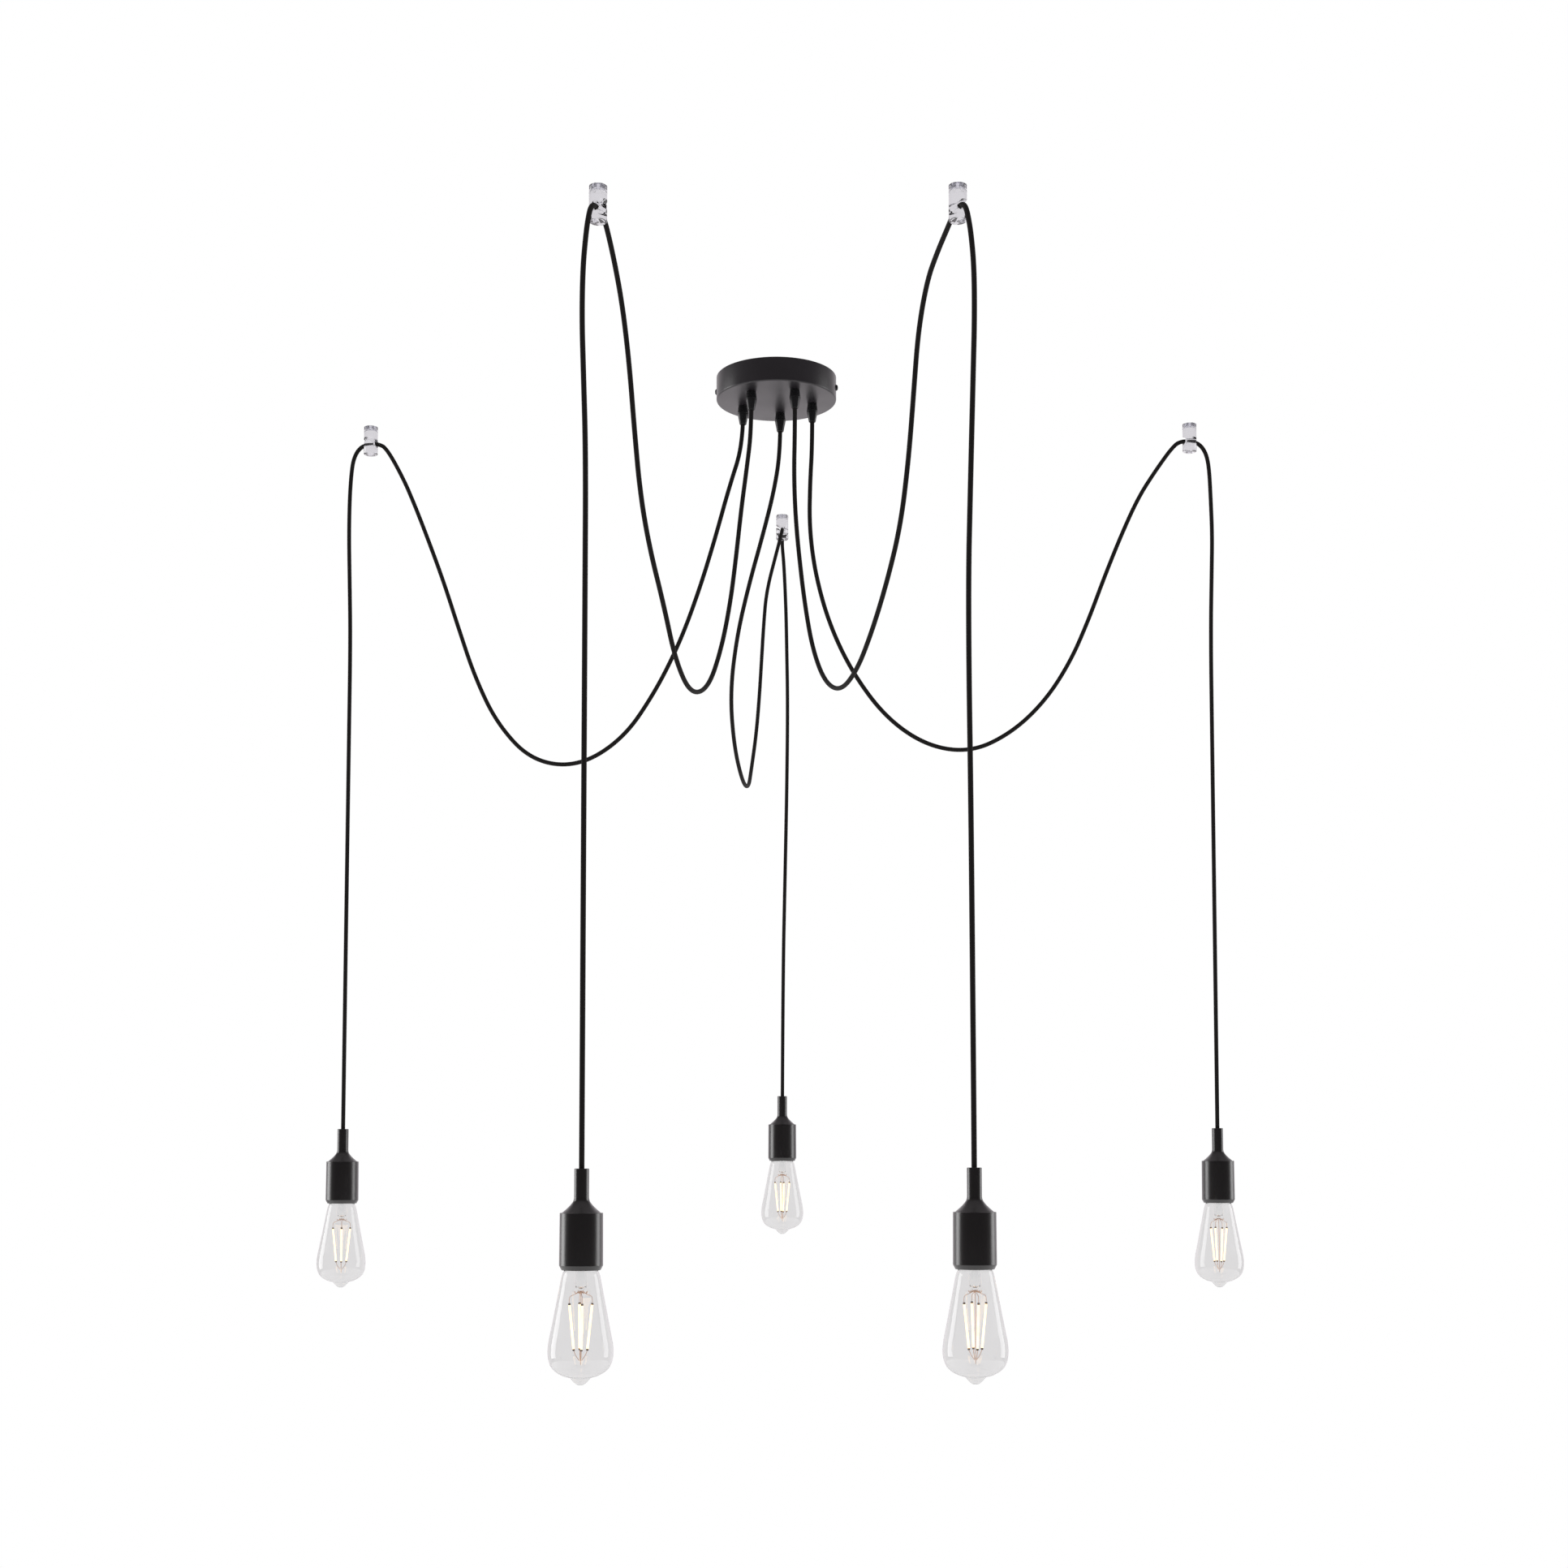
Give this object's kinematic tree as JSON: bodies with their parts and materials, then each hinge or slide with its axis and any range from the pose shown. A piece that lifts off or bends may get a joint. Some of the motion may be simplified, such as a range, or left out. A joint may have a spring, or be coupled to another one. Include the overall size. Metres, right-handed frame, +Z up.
{
  "type": "cluster pendant light",
  "caption": "Ceiling canopy with fabric cords swagged over clear ceiling hooks, each dropping to a sleeved lampholder and a filament-style bulb.",
  "frame": {"origin": "on the ceiling plane, at the middle of the canopy and of its two ceiling screws", "axes": "+Z up into the ceiling; +Y away from the camera, towards the rear lamp; +X to the right in the picture"},
  "size_m": [1.2295, 1.2679, 1.2152],
  "materials": {
    "canopy_black": "satin black powder coat",
    "bracket_steel": "zinc plated",
    "screw_black": "blackened steel",
    "terminal_white": "moulded, satin",
    "grip_black": "moulded, semi-gloss",
    "hook_base_grey": "moulded, smoke grey",
    "cord_black": "fine braided sleeve",
    "hook_clear": "clear, polished",
    "sleeve_black": "matt silicone",
    "insert_black": "phenolic moulding",
    "contact_brass": "bare spring brass",
    "bulb_glass": "clear blown glass",
    "filament": "phosphor-coated strips, lit, on fine wires",
    "cap_nickel": "rolled screw cap, nickel look",
    "contact_lead": "black vitrified insulator with a solder button"
  },
  "bodies": {
    "ceiling_set": {"canopy": "canopy_black", "ceiling_bracket": "bracket_steel", "canopy_screws": "screw_black", "terminal_block": "terminal_white", "cord_grips": "grip_black", "grip_caps": "grip_black", "grip_nuts": "bracket_steel", "hook_bases": "hook_base_grey", "front_left_hook": "hook_clear", "front_left_cord_swag": "cord_black", "left_hook": "hook_clear", "left_cord_swag": "cord_black", "rear_hook": "hook_clear", "rear_cord_swag": "cord_black", "right_hook": "hook_clear", "right_cord_swag": "cord_black", "front_right_hook": "hook_clear", "front_right_cord_swag": "cord_black"},
    "front_left_drop": {"front_left_cord_drop": "cord_black", "front_left_socket_sleeve": "sleeve_black", "front_left_socket_insert": "insert_black", "front_left_socket_contacts": "contact_brass"},
    "front_left_foot": {"front_left_bulb_contact": "contact_lead"},
    "front_left_bulb": {"front_left_bulb_glass": "bulb_glass", "front_left_bulb_filaments": "filament", "front_left_bulb_cap": "cap_nickel"},
    "left_drop": {"left_cord_drop": "cord_black", "left_socket_sleeve": "sleeve_black", "left_socket_insert": "insert_black", "left_socket_contacts": "contact_brass"},
    "left_foot": {"left_bulb_contact": "contact_lead"},
    "left_bulb": {"left_bulb_glass": "bulb_glass", "left_bulb_filaments": "filament", "left_bulb_cap": "cap_nickel"},
    "rear_drop": {"rear_cord_drop": "cord_black", "rear_socket_sleeve": "sleeve_black", "rear_socket_insert": "insert_black", "rear_socket_contacts": "contact_brass"},
    "rear_foot": {"rear_bulb_contact": "contact_lead"},
    "rear_bulb": {"rear_bulb_glass": "bulb_glass", "rear_bulb_filaments": "filament", "rear_bulb_cap": "cap_nickel"},
    "right_drop": {"right_cord_drop": "cord_black", "right_socket_sleeve": "sleeve_black", "right_socket_insert": "insert_black", "right_socket_contacts": "contact_brass"},
    "right_foot": {"right_bulb_contact": "contact_lead"},
    "right_bulb": {"right_bulb_glass": "bulb_glass", "right_bulb_filaments": "filament", "right_bulb_cap": "cap_nickel"},
    "front_right_drop": {"front_right_cord_drop": "cord_black", "front_right_socket_sleeve": "sleeve_black", "front_right_socket_insert": "insert_black", "front_right_socket_contacts": "contact_brass"},
    "front_right_foot": {"front_right_bulb_contact": "contact_lead"},
    "front_right_bulb": {"front_right_bulb_glass": "bulb_glass", "front_right_bulb_filaments": "filament", "front_right_bulb_cap": "cap_nickel"}
  },
  "joints": [
    {"name": "front_left_swing", "type": "hinge", "parent": "ceiling_set", "child": "front_left_drop", "pos_m": [-0.181, -0.552, -0.024], "axis": [-0.2778, -0.9606, 0], "range_deg": [-7, 7]},
    {"name": "front_left_bulb_travel", "type": "slide", "parent": "front_left_drop", "child": "front_left_foot", "axis": [0, 0, -1], "range_m": [0, 0.0218]},
    {"name": "front_left_bulb_turn", "type": "hinge", "parent": "front_left_foot", "child": "front_left_bulb", "pos_m": [-0.1885, -0.57794, -1.085], "axis": [0, 0, -1], "range_deg": [0, 2160]},
    {"name": "left_swing", "type": "hinge", "parent": "ceiling_set", "child": "left_drop", "pos_m": [-0.554, 0.188, -0.024], "axis": [-0.9495, 0.3138, 0], "range_deg": [-7, 7]},
    {"name": "left_bulb_travel", "type": "slide", "parent": "left_drop", "child": "left_foot", "axis": [0, 0, -1], "range_m": [0, 0.0218]},
    {"name": "left_bulb_turn", "type": "hinge", "parent": "left_foot", "child": "left_bulb", "pos_m": [-0.57964, 0.19647, -1.036], "axis": [0, 0, -1], "range_deg": [0, 2160]},
    {"name": "rear_swing", "type": "hinge", "parent": "ceiling_set", "child": "rear_drop", "pos_m": [0.007, 0.597, -0.024], "axis": [0.0038, 1, 0], "range_deg": [-7, 7]},
    {"name": "rear_bulb_travel", "type": "slide", "parent": "rear_drop", "child": "rear_foot", "axis": [0, 0, -1], "range_m": [0, 0.0218]},
    {"name": "rear_bulb_turn", "type": "hinge", "parent": "rear_foot", "child": "rear_bulb", "pos_m": [0.0071, 0.624, -0.98], "axis": [0, 0, -1], "range_deg": [0, 2160]},
    {"name": "right_swing", "type": "hinge", "parent": "ceiling_set", "child": "right_drop", "pos_m": [0.561, 0.176, -0.024], "axis": [0.9517, 0.3072, 0], "range_deg": [-7, 7]},
    {"name": "right_bulb_travel", "type": "slide", "parent": "right_drop", "child": "right_foot", "axis": [0, 0, -1], "range_m": [0, 0.0218]},
    {"name": "right_bulb_turn", "type": "hinge", "parent": "right_foot", "child": "right_bulb", "pos_m": [0.58669, 0.18429, -1.035], "axis": [0, 0, -1], "range_deg": [0, 2160]},
    {"name": "front_right_swing", "type": "hinge", "parent": "ceiling_set", "child": "front_right_drop", "pos_m": [0.188, -0.554, -0.024], "axis": [0.3052, -0.9523, 0], "range_deg": [-7, 7]},
    {"name": "front_right_bulb_travel", "type": "slide", "parent": "front_right_drop", "child": "front_right_foot", "axis": [0, 0, -1], "range_m": [0, 0.0218]},
    {"name": "front_right_bulb_turn", "type": "hinge", "parent": "front_right_foot", "child": "front_right_bulb", "pos_m": [0.19624, -0.57971, -1.084], "axis": [0, 0, -1], "range_deg": [0, 2160]}
  ],
  "couplings": [
    {"joint": "front_left_bulb_travel", "follows": "front_left_bulb_turn", "m_per_rad": 0.00057757},
    {"joint": "left_bulb_travel", "follows": "left_bulb_turn", "m_per_rad": 0.00057757},
    {"joint": "rear_bulb_travel", "follows": "rear_bulb_turn", "m_per_rad": 0.00057757},
    {"joint": "right_bulb_travel", "follows": "right_bulb_turn", "m_per_rad": 0.00057757},
    {"joint": "front_right_bulb_travel", "follows": "front_right_bulb_turn", "m_per_rad": 0.00057757}
  ]
}
